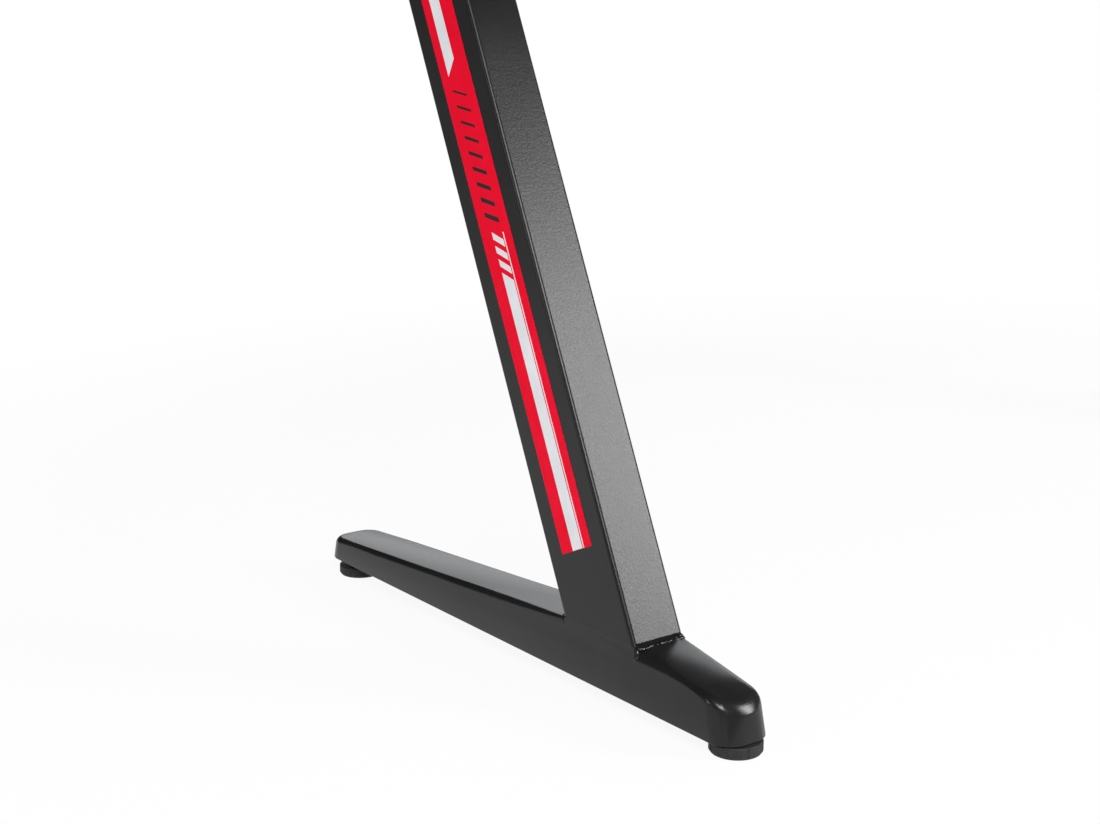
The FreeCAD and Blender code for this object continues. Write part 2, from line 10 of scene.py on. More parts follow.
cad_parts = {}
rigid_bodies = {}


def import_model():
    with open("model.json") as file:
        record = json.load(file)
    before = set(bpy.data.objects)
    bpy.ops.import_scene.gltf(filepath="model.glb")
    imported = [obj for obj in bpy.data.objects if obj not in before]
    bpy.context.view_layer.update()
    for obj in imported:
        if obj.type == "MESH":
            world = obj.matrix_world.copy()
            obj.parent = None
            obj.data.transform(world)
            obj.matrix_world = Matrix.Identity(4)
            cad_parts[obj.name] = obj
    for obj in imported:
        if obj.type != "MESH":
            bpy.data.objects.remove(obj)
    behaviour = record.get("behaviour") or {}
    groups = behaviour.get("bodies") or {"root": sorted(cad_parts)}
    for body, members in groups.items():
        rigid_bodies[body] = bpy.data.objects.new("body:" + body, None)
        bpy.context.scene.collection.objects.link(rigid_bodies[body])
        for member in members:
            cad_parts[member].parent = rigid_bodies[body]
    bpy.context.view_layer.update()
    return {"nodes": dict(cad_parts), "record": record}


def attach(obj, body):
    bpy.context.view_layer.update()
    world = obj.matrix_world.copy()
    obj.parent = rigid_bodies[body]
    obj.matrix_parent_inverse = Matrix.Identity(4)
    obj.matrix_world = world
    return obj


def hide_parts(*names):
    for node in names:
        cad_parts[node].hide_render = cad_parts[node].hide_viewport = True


# A gaming desk on two Z-shaped steel side frames, seen close to the left leg and foot.
# X runs along its width, Y from front to rear and Z up from the floor. Sizes are in metres.

for leftover in list(bpy.data.objects):
    bpy.data.objects.remove(leftover)
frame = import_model()
nodes = frame["nodes"]
record = frame["record"]

# Side frames: each leg leans back from the top of its foot to the underside of its top bar
SIDES = (("left", -1), ("right", 1))
LEG_X = 0.63
LEG_FRONT = -0.179
LEG_REAR = -0.0914
LEG_RUN = 0.2867
LEG_RISE = 0.6427
LEG_CORNER = 0.0033
FOOT_TOP = 0.0593
FOOT_HALF_WIDTH = 0.025
NOSE_LENGTH = 0.1053
NOSE_SLOPE = 0.1462
TAIL_SLOPE = 0.058
BAR_UNDERSIDE = FOOT_TOP + LEG_RISE

# The leg's own axes start where its front face meets the foot's top: up along it, and back across it
LEG_LEAN = math.atan2(LEG_RUN, LEG_RISE)
LEG_START = Vector((0, LEG_FRONT, FOOT_TOP))
UP_LEG = Vector((0, math.sin(LEG_LEAN), math.cos(LEG_LEAN)))
ACROSS_LEG = Vector((0, math.cos(LEG_LEAN), -math.sin(LEG_LEAN)))


# Shader nodes

def spread(tree, source, ends, results):
    """Map a value that runs between two ends to one that runs between two results."""
    ramp = tree.nodes.new("ShaderNodeMapRange")
    for name, value in zip(("From Min", "From Max", "To Min", "To Max"), (*ends, *results)):
        ramp.inputs[name].default_value = value
    tree.links.new(source, ramp.inputs["Value"])
    return ramp.outputs["Result"]


def blend(tree, source, ends, low, high):
    """Blend two colours as a value runs between two ends."""
    ramp = tree.nodes.new("ShaderNodeValToRGB")
    first, last = ramp.color_ramp.elements
    first.position, last.position = ends
    first.color = (*low, 1)
    last.color = (*high, 1)
    tree.links.new(source, ramp.inputs["Fac"])
    return ramp.outputs["Color"]


def combine(tree, operation, first, second):
    """Combine two values by a mathematical operation."""
    result = tree.nodes.new("ShaderNodeMath")
    result.operation = operation
    tree.links.new(first, result.inputs[0])
    tree.links.new(second, result.inputs[1])
    return result.outputs["Value"]


def mix_shaders(tree, share, first, second):
    """Mix two shaders, from all of the first at a share of 0 to all of the second at 1."""
    mix = tree.nodes.new("ShaderNodeMixShader")
    tree.links.new(share, mix.inputs["Fac"])
    tree.links.new(first.outputs[0], mix.inputs[1])
    tree.links.new(second.outputs[0], mix.inputs[2])
    return mix


# Finishes

# Where most of a noise's values lie
NOISE_ENDS = (0.3, 0.7)


class Finish:
    """A material patterned in a piece's own coordinates, and short ways to build it."""

    def __init__(self, name):
        self.material = bpy.data.materials.new(name)
        self.material.use_nodes = True
        self.tree = self.material.node_tree
        self.shader = self.tree.nodes["Principled BSDF"]
        self.place = self.tree.nodes.new("ShaderNodeTexCoord").outputs["Object"]

    def set(self, **values):
        """Set inputs of the shader, whose spaces are underscores here."""
        for name, value in values.items():
            self.shader.inputs[name.replace("_", " ")].default_value = value

    def noise(self, scale, detail, stretch=(1, 1, 1)):
        mapping = self.tree.nodes.new("ShaderNodeMapping")
        mapping.inputs["Scale"].default_value = stretch
        self.tree.links.new(self.place, mapping.inputs["Vector"])
        noise = self.tree.nodes.new("ShaderNodeTexNoise")
        noise.inputs["Scale"].default_value = scale
        noise.inputs["Detail"].default_value = detail
        self.tree.links.new(mapping.outputs["Vector"], noise.inputs["Vector"])
        return noise.outputs["Fac"]

    def colour(self, noise, low, high):
        """Vary the colour between two by a noise."""
        shade = blend(self.tree, noise, NOISE_ENDS, low, high)
        self.tree.links.new(shade, self.shader.inputs["Base Color"])

    def rough(self, noise, limits):
        """Vary the roughness between two limits by a noise."""
        roughness = spread(self.tree, noise, NOISE_ENDS, limits)
        self.tree.links.new(roughness, self.shader.inputs["Roughness"])

    def bump(self, noise, depth):
        """Give the surface a grain of some depth."""
        bump = self.tree.nodes.new("ShaderNodeBump")
        bump.inputs["Distance"].default_value = depth
        self.tree.links.new(noise, bump.inputs["Height"])
        self.tree.links.new(bump.outputs["Normal"], self.shader.inputs["Normal"])


def powder_coat(name, low, high, rough, grain, refraction=1.35):
    """Satin black powder coat with a fine orange peel."""
    coat = Finish(name)
    coat.set(IOR=refraction)
    coat.colour(coat.noise(scale=18, detail=3), low, high)
    coat.rough(coat.noise(scale=700, detail=2), rough)
    coat.bump(coat.noise(scale=450, detail=3), grain)
    return coat.material


def film_finish(name, low, high, gloss):
    """Printed vinyl: an even ink with a faint mottle and a soft sheen."""
    film = Finish(name)
    film.set(IOR=1.45, Specular_IOR_Level=gloss)
    film.colour(film.noise(scale=45, detail=3), low, high)
    film.rough(film.noise(scale=120, detail=2), (0.34, 0.46))
    film.bump(film.noise(scale=1500, detail=1), depth=0.00001)
    return film.material


def moulded(name, low, high, rough, grain_scale, grain):
    """Moulded plastic with a fine spark-eroded grain."""
    plastic = Finish(name)
    plastic.set(IOR=1.4)
    plastic.colour(plastic.noise(scale=70, detail=3), low, high)
    plastic.rough(plastic.noise(scale=400, detail=2), rough)
    plastic.bump(plastic.noise(scale=grain_scale, detail=2), grain)
    return plastic.material


def zinc_plate(name):
    """Bright zinc with a slight clouding and fine turning marks."""
    zinc = Finish(name)
    zinc.set(Metallic=1.0)
    zinc.colour(zinc.noise(scale=320, detail=4), (0.50, 0.51, 0.54), (0.70, 0.70, 0.69))
    zinc.rough(zinc.noise(scale=900, detail=3), (0.24, 0.4))
    zinc.bump(zinc.noise(scale=1600, detail=2, stretch=(1, 1, 6)), depth=0.00002)
    return zinc.material


def laminate(name):
    """Black laminate with a fine pressed pore texture."""
    board = Finish(name)
    board.set(IOR=1.5, Specular_IOR_Level=0.2)
    board.colour(board.noise(scale=90, detail=5, stretch=(1, 3, 1)),
                 (0.019, 0.019, 0.02), (0.025, 0.025, 0.026))
    board.rough(board.noise(scale=240, detail=3), (0.62, 0.74))
    board.bump(board.noise(scale=500, detail=3, stretch=(1, 4, 1)), depth=0.00006)
    return board.material


finishes = {
    "black_steel": powder_coat("black_steel_coat", (0.0075, 0.0075, 0.0078), (0.011, 0.011, 0.0114),
                               rough=(0.235, 0.265), grain=0.00002),
    # The weld's coat is a darker copy of the black steel coat: painted shade in the band between leg and
    # foot, along with its own glossier finish.
    "black_weld": powder_coat("black_weld_coat", (0.005, 0.005, 0.0053), (0.008, 0.008, 0.0084),
                              rough=(0.1, 0.16), grain=0.00002, refraction=1.6),
    "red_film": film_finish("red_film_ink", (0.69, 0.002, 0.019), (0.74, 0.003, 0.025), gloss=0.05),
    "black_laminate": laminate("black_laminate_board"),
    "black_edging": moulded("black_edging_band", (0.017, 0.017, 0.018), (0.024, 0.024, 0.025),
                            rough=(0.62, 0.74), grain_scale=1400, grain=0.00003),
    "black_plastic": moulded("black_plastic_cap", (0.018, 0.018, 0.018), (0.027, 0.027, 0.027),
                             rough=(0.45, 0.6), grain_scale=1200, grain=0.00004),
    "black_pad": moulded("black_pad_nylon", (0.012, 0.012, 0.0115), (0.018, 0.018, 0.0175),
                         rough=(0.6, 0.72), grain_scale=1100, grain=0.00004),
    "zinc_steel": zinc_plate("zinc_steel_plate"),
}
pale_ink = film_finish("pale_stripe_ink", (0.63, 0.64, 0.67), (0.69, 0.70, 0.73), gloss=0.05)
dark_ink = film_finish("dark_dash_ink", (0.018, 0.012, 0.014), (0.03, 0.02, 0.022), gloss=0.1)
# The legs' coat is a darker copy of the black steel coat: painted shade on the legs, along with their own
# roughness and grain.
leg_coat = powder_coat("black_leg_coat", (0.005, 0.005, 0.0053), (0.008, 0.008, 0.0084),
                       rough=(0.29, 0.33), grain=0.00008)
bar_coat = powder_coat("black_bar_coat", (0.009, 0.009, 0.0093), (0.013, 0.013, 0.0134),
                       rough=(0.5, 0.6), grain=0.00005, refraction=1.3)

# The legs and bars have coats of their own, found by the last words of a node's name; the legs' darker tone
# is painted shade
own_coats = {"_leg": leg_coat, "_top_bar": bar_coat, "_crossbar": bar_coat, "_crossbar_plates": bar_coat}
slots = {part["node"]: part["material_slot"] for part in record["subparts"]}


def node_finish(name):
    for ending, coat in own_coats.items():
        if name.endswith(ending):
            return coat
    return finishes[slots[name]]


for name, node in nodes.items():
    node.data.materials.clear()
    node.data.materials.append(node_finish(name))


# Pieces

def finished(name, shape, material, body="frame", smooth=False):
    """A piece from a bmesh, riding on a body, with a finish."""
    for face in shape.faces:
        face.smooth = smooth
    mesh = bpy.data.meshes.new(name)
    shape.to_mesh(mesh)
    shape.free()
    mesh.materials.append(material)
    piece = bpy.data.objects.new(name, mesh)
    bpy.context.collection.objects.link(piece)
    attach(piece, body)
    return piece


def only(kind, items):
    """The items of one kind, points or edges, among those that an operator made."""
    return [item for item in items if isinstance(item, kind)]


def clamped(value):
    """A value kept between 0 and 1."""
    return min(1.0, max(0.0, value))


# Print on the films: ends are heights up the leg, and bands are places across it

FILM_OUT = 0.6553
FILM_ENDS = (0.0842, 0.6195)
PRINT_THICKNESS = 0.00006
SLANT = 0.0104
STRIPE_BAND = (0.032, 0.0451)
STRIPE_TOP = 0.3041
PINSTRIPE_BAND = (0.0296, 0.0308)
PINSTRIPE_TOP = 0.344
SLASH_STARTS = (0.3093, 0.3206, 0.332)
SLASH_HEIGHT = 0.0061
UPPER_STRIPE_BAND = (0.0364, 0.0496)
UPPER_STRIPE_START = 0.4937
DASHES = 9
DASH_BAND = (0.0315, 0.0485)
DASH_START = 0.352
DASH_PITCH = 0.0134
DASH_HEIGHTS = (0.0044, 0.002)


def print_bar(mesh, side, band, start, end, start_slant=0.0, end_slant=0.0):
    """A thin printed bar on a film. Each end may stand higher, by its slant, at the rear than in front."""
    front, rear = band
    corners = ((start, front), (start + start_slant, rear), (end + end_slant, rear), (end, front))
    base = LEG_START + Vector((side * FILM_OUT, 0, 0))
    points = [mesh.verts.new(base + UP_LEG * up + ACROSS_LEG * across) for up, across in corners]
    raised = bmesh.ops.extrude_face_region(mesh, geom=[mesh.faces.new(points)])["geom"]
    bmesh.ops.translate(mesh, verts=only(BMVert, raised), vec=(side * PRINT_THICKNESS, 0, 0))


def pale_print(name, side):
    """The long stripe, the pinstripe beside it, the slash bars over it and the stripe's upper length."""
    low, high = FILM_ENDS
    pale = bmesh.new()
    print_bar(pale, side, STRIPE_BAND, low, STRIPE_TOP, end_slant=SLANT)
    print_bar(pale, side, PINSTRIPE_BAND, low, PINSTRIPE_TOP)
    for start in SLASH_STARTS:
        print_bar(pale, side, STRIPE_BAND, start, start + SLASH_HEIGHT, SLANT, SLANT)
    print_bar(pale, side, UPPER_STRIPE_BAND, UPPER_STRIPE_START, high, start_slant=-SLANT)
    bmesh.ops.recalc_face_normals(pale, faces=pale.faces)
    finished(f"{name}_film_stripes", pale, pale_ink)


def dark_print(name, side):
    """A row of slanted dashes that grow thinner up the leg."""
    dark = bmesh.new()
    thick, thin = DASH_HEIGHTS
    for index in range(DASHES):
        start = DASH_START + DASH_PITCH * index
        height = thick + (thin - thick) * index / (DASHES - 1)
        print_bar(dark, side, DASH_BAND, start, start + height, SLANT, SLANT)
    bmesh.ops.recalc_face_normals(dark, faces=dark.faces)
    finished(f"{name}_film_dashes", dark, dark_ink)


# Weld beads

WELD_LENGTH = 0.0456
WELD_STRAIGHT = 0.0434
WELD_RISE = 0.0024
WELD_RUN = 0.005
WELD_SEED = 5

# The bead's section from the leg to its toe, and back under it, as shares of its chord and rises from it
WELD_FACE = ((0.0, 0.0001), (0.12, 0.0005), (0.25, 0.0004), (0.45, 0.0002), (0.6, 0.0003), (0.72, 0.0007),
             (0.84, 0.0009), (0.95, 0.0007), (1.04, 0.0))
WELD_ROOT = ((1.04, -0.0012), (0.35, -0.0024), (-0.04, -0.0012))
ROOT_LIMIT = -0.0006
SECTION_SLACK = 0.01

# The ripple: steps of each drop of metal along the bead, its bow, and shares drawn by chance
RIPPLE_PITCH = 0.0023
RIPPLE_STEPS = (0.55, 1.0, 1.1, 0.95, 0.7)
RIPPLE_BOW = 0.0009
DROP_SHARES = (0.25, 1.35)
POINT_SHARES = (0.6, 1.4)

# The bead's ends: a short ramp, and a swelling where the welder starts and stops
END_RAMP = 0.45 * RIPPLE_PITCH
END_SWELL = 0.6
END_SWELL_LENGTH = 0.0022

# Each welded corner: its place along Y and Z, the way the bead runs out from it, and up or down the leg
WELD_CORNERS = (
    (LEG_FRONT, FOOT_TOP, Vector((0, -1, -NOSE_SLOPE)), 1),
    (LEG_REAR, FOOT_TOP, Vector((0, 1, -TAIL_SLOPE)), 1),
    (LEG_FRONT + LEG_RUN, BAR_UNDERSIDE, Vector((0, -1, 0)), -1),
    (LEG_REAR + LEG_RUN, BAR_UNDERSIDE, Vector((0, 1, 0)), -1),
)


def corner_bend(along):
    """How far the bead runs back round the leg's rounded corner at a place along it."""
    past = max(0.0, abs(along) - WELD_STRAIGHT / 2)
    return LEG_CORNER - math.sqrt(LEG_CORNER ** 2 - past ** 2)


def section_rise(share):
    """How far the bead stands above its chord, before the ripple."""
    for (low, low_rise), (high, high_rise) in zip(WELD_FACE, WELD_FACE[1:]):
        if low - SECTION_SLACK <= share <= high + SECTION_SLACK:
            return low_rise + (high_rise - low_rise) * (share - low) / (high - low)
    return 0.0


def end_share(near_end):
    """How the ripple's height changes at a distance from the bead's nearer end."""
    swell = END_SWELL * math.exp(-(near_end / END_SWELL_LENGTH - 1) ** 2)
    return min(1.0, near_end / END_RAMP) * (1 + swell)


def weld_bead(mesh, chance, middle, corner, run, way):
    """A rippled bead along X, in the corner between the leg and the piece it is welded to."""
    high = corner + UP_LEG * way * WELD_RISE
    chord = corner + run * WELD_RUN - high
    outward = chord.cross(Vector((1, 0, 0))).normalized()
    if outward.dot(corner - high) > 0:
        outward.negate()
    section = []
    for share, rise in WELD_FACE + WELD_ROOT:
        x = middle - WELD_LENGTH / 2 + RIPPLE_BOW * share * (1 - share)
        section.append(mesh.verts.new(high + chord * share + outward * rise + Vector((x, 0, 0))))
    line = [mesh.edges.new(pair) for pair in zip(section, section[1:] + section[:1])]
    bmesh.ops.edgeloop_fill(mesh, edges=line)
    bend = corner_bend(-WELD_LENGTH / 2)
    bmesh.ops.translate(mesh, verts=section, vec=-run * bend)
    rings = round(WELD_LENGTH / RIPPLE_PITCH) * len(RIPPLE_STEPS)
    advance = Vector((WELD_LENGTH / rings, 0, 0))
    drop = 1.0
    for ring in range(1, rings + 1):
        grown = bmesh.ops.extrude_edge_only(mesh, edges=line)["geom"]
        line = only(BMEdge, grown)
        points = only(BMVert, grown)
        last_bend, bend = bend, corner_bend(WELD_LENGTH * (ring / rings - 0.5))
        bmesh.ops.translate(mesh, verts=points, vec=advance - run * (bend - last_bend))
        step = ring % len(RIPPLE_STEPS)
        if step == 0:
            drop = chance.uniform(*DROP_SHARES)
        ripple = RIPPLE_STEPS[step] * drop * end_share(min(ring, rings - ring) * WELD_LENGTH / rings)
        for point in points:
            place = point.co - (high - run * bend)
            height = place.dot(outward)
            rise = section_rise(place.dot(chord) / chord.length_squared)
            wanted = rise * ripple * chance.uniform(*POINT_SHARES)
            if rise > 0 and height > ROOT_LIMIT:
                point.co += outward * (wanted - height)
    bmesh.ops.edgeloop_fill(mesh, edges=line)


def welded_joints(name, side):
    """The four beads of a side frame, in front of and behind the leg at both of its ends."""
    beads = bmesh.new()
    chance = random.Random(WELD_SEED + side)
    for y, z, run, way in WELD_CORNERS:
        weld_bead(beads, chance, side * LEG_X, Vector((0, y, z)), run, way)
    bmesh.ops.recalc_face_normals(beads, faces=beads.faces)
    piece = finished(f"{name}_rippled_welds", beads, finishes["black_weld"], smooth=True)
    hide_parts(f"{name}_weld_beads")


# Pressed feet

MERGE_GAP = 0.00001
FLAT_ANGLE = math.radians(0.2)
SHARP_ANGLE = math.radians(35)

# The rim's small round, and how the faces on both sides of the rim's edge face
RIM_ROUND = 0.0006
RIM_STEPS = 3
RIM_TOP = 0.02
RIM_UNDERSIDE_FACING = -0.9
RIM_WALL_FACING = 0.5

# The nose's crown, and its tip that is lowered and bulges in front, more so up its front wall
NOSE_CUTS_ALONG = 22
NOSE_CUTS_ACROSS = 14
NOSE_CUT_REACH = 0.02
NOSE_CROWN = 0.0025
TIP_PLACE = 0.0985
TIP_LENGTH = 0.032
TIP_DROP = 0.006
TIP_BULGE = 0.0022
TIP_BULGE_SHARE = 0.7
TIP_WALL_FOOT = 0.014
TIP_WALL_RISE = 0.026

# The edge round behind the leg: small at the leg, full a little behind it, the shell's own at the tip
TAIL_ROUNDS = (0.0023, 0.0056)
TAIL_GROWTH = 0.1
TAIL_BLEND = (0.2, 0.262)
TAIL_EDGE_SLACK = 0.0001
TAIL_EDGE_REACH = 0.009
TAIL_EDGE_FACING = 0.5
TAIL_ROUND_LIMIT = 0.0095


def even_tail_rounds(shell, middle):
    """Scale the round along the top edges behind the leg about the sharp edge that it replaces."""
    shell.normal_update()
    small, full = TAIL_ROUNDS
    blend_start, blend_end = TAIL_BLEND
    for vert in shell.verts:
        x, y, z = vert.co
        if not LEG_REAR < y < blend_end:
            continue
        way = 1 if x > middle else -1
        inward = FOOT_HALF_WIDTH - abs(x - middle)
        down = LEG_START.z - TAIL_SLOPE * (y - LEG_REAR) - z
        if min(inward, down) < -TAIL_EDGE_SLACK or max(inward, down) > TAIL_EDGE_REACH:
            continue
        if vert.normal.dot(Vector((way, 0, 1))) < TAIL_EDGE_FACING:
            continue
        inward, down = max(inward, 0.0), max(down, 0.0)
        old_round = inward + down + math.sqrt(2 * inward * down)
        if old_round == 0 or old_round > TAIL_ROUND_LIMIT:
            continue
        new_round = small + (full - small) * math.sqrt(clamped((y - LEG_REAR) / TAIL_GROWTH))
        own = clamped((y - blend_start) / (blend_end - blend_start))
        scale = new_round / old_round * (1 - own) + own
        vert.co.x += way * inward * (1 - scale)
        vert.co.z += down * (1 - scale)


def outer_rim(edge, middle):
    """Whether an edge lies between the foot's outer wall and the underside of its rim."""
    if len(edge.link_faces) != 2 or max(vert.co.z for vert in edge.verts) > RIM_TOP:
        return False
    wall, under = sorted(edge.link_faces, key=lambda face: face.normal.z, reverse=True)
    if under.normal.z > RIM_UNDERSIDE_FACING or abs(wall.normal.z) > RIM_WALL_FACING:
        return False
    spot = (edge.verts[0].co + edge.verts[1].co) / 2
    return wall.normal.dot(Vector((spot.x - middle, spot.y, 0))) > 0


def cut_nose(shell, middle):
    """Cut the nose along and across, so that its faces can bend."""
    cuts = [((0, LEG_FRONT - NOSE_LENGTH * step / NOSE_CUTS_ALONG, 0), (0, 1, 0))
            for step in range(1, NOSE_CUTS_ALONG)]
    cuts += [((middle + FOOT_HALF_WIDTH * (2 * step / NOSE_CUTS_ACROSS - 1), 0, 0), (1, 0, 0))
             for step in range(1, NOSE_CUTS_ACROSS)]
    for place, way in cuts:
        faces = [face for face in shell.faces if face.calc_center_median().y < LEG_FRONT + NOSE_CUT_REACH]
        edges = {edge for face in faces for edge in face.edges}
        points = {vert for face in faces for vert in face.verts}
        bmesh.ops.bisect_plane(shell, geom=faces + list(edges) + list(points), plane_co=place, plane_no=way)


def bend_nose(shell, middle):
    """Crown the nose, lower its tip and let its front bulge."""
    for vert in shell.verts:
        along = (LEG_FRONT - vert.co.y) / NOSE_LENGTH
        if not 0 < along < 1:
            continue
        offset = min(1.0, abs(vert.co.x - middle) / FOOT_HALF_WIDTH)
        tip = clamped(1 - (TIP_PLACE - along * NOSE_LENGTH) / TIP_LENGTH)
        height = clamped((vert.co.z - TIP_WALL_FOOT) / TIP_WALL_RISE)
        beside = min(1.0, offset / TIP_BULGE_SHARE)
        vert.co.z += NOSE_CROWN * math.sin(math.pi * along) * (1 - offset ** 2)
        vert.co.z -= TIP_DROP * tip ** 2 * height * (1 - offset ** 2)
        vert.co.y -= TIP_BULGE * tip * height * (1 - beside ** 2 * (3 - 2 * beside))


def pressed_foot(name, side):
    """The foot with its edge rounds evened, its rim rounded over and its nose bent as pressing leaves it."""
    middle = side * LEG_X
    shell = bmesh.new()
    shell.from_mesh(nodes[f"{name}_foot"].data)
    bmesh.ops.remove_doubles(shell, verts=shell.verts, dist=MERGE_GAP)
    bmesh.ops.dissolve_limit(shell, angle_limit=FLAT_ANGLE, verts=shell.verts, edges=shell.edges)
    even_tail_rounds(shell, middle)
    rim = [edge for edge in shell.edges if outer_rim(edge, middle)]
    bmesh.ops.bevel(shell, geom=rim, offset=RIM_ROUND, affect="EDGES", segments=RIM_STEPS, profile=0.5,
                    material=-1)
    cut_nose(shell, middle)
    bend_nose(shell, middle)
    piece = finished(f"{name}_pressed_foot", shell, finishes["black_steel"], smooth=True)
    piece.data.set_sharp_from_angle(angle=SHARP_ANGLE)
    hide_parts(f"{name}_foot")


# Fasteners: a head's outline from the drive's rim to the shank's end, as radius and height

BOLT_OUTLINE = ((0.0029, 0.0033), (0.0038, 0.0031), (0.0046, 0.0025), (0.0051, 0.0016), (0.00525, 0.0009),
                (0.00525, 0.0), (0.003, 0.0), (0.003, -0.0147))
SCREW_OUTLINE = ((0.0029, 0.003), (0.0038, 0.0026), (0.0046, 0.0018), (0.005, 0.001), (0.005, 0.0),
                 (0.00225, 0.0), (0.00225, -0.0149))
HEAD_STEPS = 24
RECESS_SHARE = 0.8
LEVEL_GAP = 0.000001

# Where the heads sit: the bolts' on their washers, the screws' under the top walls of the top bars
BOLT_SEAT = 0.6008
BOLT_HEIGHT = 0.717
BOLT_ROWS = (-0.215, -0.165, 0.165, 0.215)
SCREW_SEAT = 0.7305
SCREW_ROWS = (-0.21, -0.07, 0.07, 0.21)


def level_edges(mesh, height):
    """The open edges of a mesh that lie at one height."""
    return [edge for edge in mesh.edges if len(edge.link_faces) == 1
            and all(abs(vert.co.z - height) < LEVEL_GAP for vert in edge.verts)]


def driven_head(outline, points, notch, depth):
    """A round head on a shank, standing on +Z. The notch scales every second point of its driving recess."""
    head = bmesh.new()
    chain = [head.verts.new((radius, 0, height)) for radius, height in outline]
    edges = [head.edges.new(pair) for pair in zip(chain, chain[1:])]
    bmesh.ops.spin(head, geom=chain + edges, cent=(0, 0, 0), axis=(0, 0, 1), angle=math.tau,
                   steps=HEAD_STEPS, use_merge=True)
    rim_radius, top = outline[0]
    bottom = outline[-1][1]
    head_rim = level_edges(head, top)
    bmesh.ops.edgeloop_fill(head, edges=level_edges(head, bottom))
    star = bmesh.ops.create_circle(head, radius=rim_radius * RECESS_SHARE, segments=points)["verts"]
    for vert in star[::2]:
        vert.co *= notch
    sides = list({edge for vert in star for edge in vert.link_edges})
    split = bmesh.ops.subdivide_edges(head, edges=sides, cuts=HEAD_STEPS // points - 1)["geom_split"]
    recess_rim = only(BMEdge, split)
    star = list({vert for edge in recess_rim for vert in edge.verts})
    bmesh.ops.translate(head, verts=star, vec=(0, 0, top))
    bmesh.ops.bridge_loops(head, edges=head_rim + recess_rim)
    sunk = bmesh.ops.extrude_edge_only(head, edges=recess_rim)["geom"]
    bmesh.ops.translate(head, verts=only(BMVert, sunk), vec=(0, 0, -depth))
    recess_floor = [edge for edge in only(BMEdge, sunk) if len(edge.link_faces) == 1]
    bmesh.ops.edgeloop_fill(head, edges=recess_floor)
    bmesh.ops.recalc_face_normals(head, faces=head.faces)
    return head


def copies(shape, places):
    """One mesh with a shape in several places."""
    pattern = bpy.data.meshes.new("pattern")
    shape.to_mesh(pattern)
    shape.free()
    whole = bmesh.new()
    for place in places:
        copy = pattern.copy()
        copy.transform(place)
        whole.from_mesh(copy)
        bpy.data.meshes.remove(copy)
    bpy.data.meshes.remove(pattern)
    return whole


def fasteners(name, node, head, places):
    """Fasteners of one kind, in place of a CAD node."""
    piece = finished(name, copies(head, places), finishes["zinc_steel"])
    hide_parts(node)


def socket_head_bolts():
    """The bolts that hold the crossbars' plates to the top bars, with their heads on the inside."""
    head = driven_head(BOLT_OUTLINE, points=6, notch=1.0, depth=0.002)
    places = [Matrix.Translation((side * BOLT_SEAT, row, BOLT_HEIGHT))
              @ Matrix.Rotation(-side * math.pi / 2, 4, "Y")
              for _, side in SIDES for row in BOLT_ROWS]
    fasteners("socket_head_bolts", "crossbar_bolts", head, places)


def cross_head_screws():
    """The screws that hold the tabletop, driven up through the top bars."""
    head = driven_head(SCREW_OUTLINE, points=8, notch=0.4, depth=0.0016)
    places = [Matrix.Translation((side * LEG_X, row, SCREW_SEAT)) @ Matrix.Rotation(math.pi, 4, "X")
              for _, side in SIDES for row in SCREW_ROWS]
    fasteners("cross_head_screws", "tabletop_screws", head, places)


# Levelling stems: a screw thread swept from the outline of one turn

THREAD_PITCH = 0.00125
THREAD_ROOT = 0.0034
THREAD_CREST = 0.00398
THREAD_OUTLINE = ((THREAD_ROOT, 0.0), (THREAD_ROOT, 0.00015), (THREAD_CREST, 0.00055),
                  (THREAD_CREST, 0.0007), (THREAD_ROOT, 0.0011), (THREAD_ROOT, THREAD_PITCH))
THREAD_STEPS = 20
THREAD_MERGE_GAP = 0.00002
STEM_ENDS = (0.0042, 0.0352)

pad_places = {mount["name"]: mount["pos_m"] for mount in record["mounts"]}


def threaded_stem(name):
    """The stem over the floor pad of one corner of the desk."""
    stem = bmesh.new()
    low, high = STEM_ENDS
    chain = [stem.verts.new((radius, 0, low - THREAD_PITCH + height)) for radius, height in THREAD_OUTLINE]
    edges = [stem.edges.new(pair) for pair in zip(chain, chain[1:])]
    turns = math.ceil((high - low) / THREAD_PITCH) + 1
    bmesh.ops.spin(stem, geom=chain + edges, cent=(0, 0, 0), axis=(0, 0, 1), angle=math.tau * turns,
                   steps=THREAD_STEPS * turns, dvec=(0, 0, THREAD_PITCH / THREAD_STEPS))
    bmesh.ops.remove_doubles(stem, verts=stem.verts, dist=THREAD_MERGE_GAP)
    for height, way in ((low, -1), (high, 1)):
        everything = stem.verts[:] + stem.edges[:] + stem.faces[:]
        sliced = bmesh.ops.bisect_plane(stem, geom=everything, plane_co=(0, 0, height),
                                        plane_no=(0, 0, way), clear_outer=True)["geom_cut"]
        bmesh.ops.edgeloop_fill(stem, edges=only(BMEdge, sliced))
    bmesh.ops.recalc_face_normals(stem, faces=stem.faces)
    bmesh.ops.translate(stem, verts=stem.verts, vec=pad_places[f"{name}_floor_pad"])
    piece = finished(f"{name}_threaded_stem", stem, finishes["zinc_steel"], f"{name}_stem")
    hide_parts(f"{name}_leveller_stem")


for name, side in SIDES:
    pale_print(name, side)
    dark_print(name, side)
    welded_joints(name, side)
    pressed_foot(name, side)
    for end in ("front", "rear"):
        threaded_stem(f"{name}_{end}")
socket_head_bolts()
cross_head_screws()


# Floor and backdrop

WHITE = (1, 1, 1, 1)
FLOOR_HALF = 1.7
FLOOR_COLOUR = (0.72, 0.72, 0.72, 1)
FLOOR_ROUGHNESS = 0.9

# How far from the middle the floor fades into the backdrop, and its share of white before and after
FLOOR_FADE = (0.95, 1.6)
FLOOR_WHITES = (0.92, 1)

